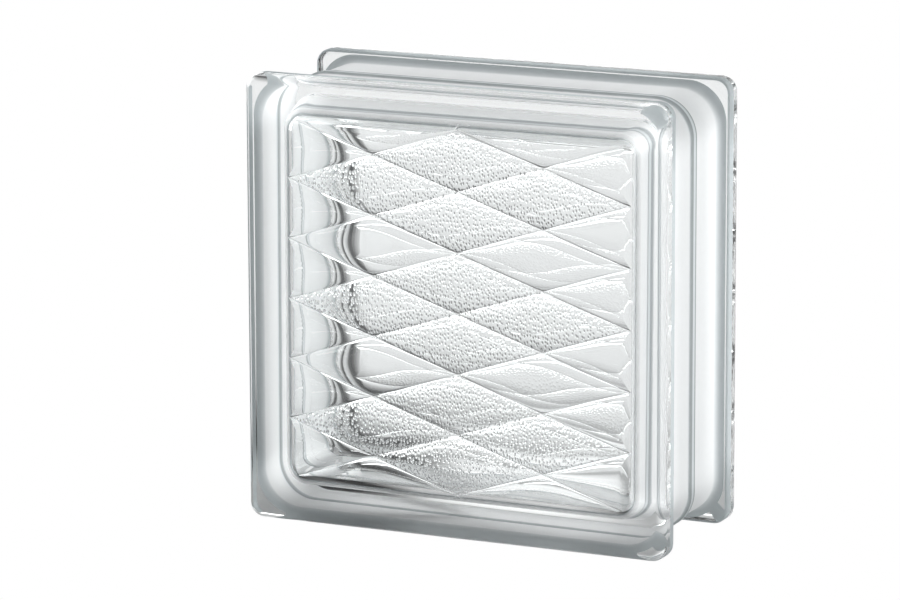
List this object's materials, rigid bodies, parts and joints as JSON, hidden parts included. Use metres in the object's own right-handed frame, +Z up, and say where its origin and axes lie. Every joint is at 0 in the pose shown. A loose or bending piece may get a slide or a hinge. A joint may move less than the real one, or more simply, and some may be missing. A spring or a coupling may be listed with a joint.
{
  "type": "glass block",
  "caption": "Square hollow glass building block with flat outer faces, a lozenge relief inside, raised edge flanges and a fused seam round its sides.",
  "frame": {"origin": "centre of the bottom of the block's box, where it stands on its two edge flanges", "axes": "+X across the face, +Z up the face, and the front face looks along -Y, so Y runs through the block's thickness"},
  "size_m": [0.19, 0.08, 0.19],
  "materials": {
    "glass": "clear, smooth pressed glass with a slight cool tint, stippled on the inner side of three rows of lozenges"
  },
  "bodies": {
    "root": {"front_half": "glass", "back_half": "glass"}
  },
  "joints": []
}
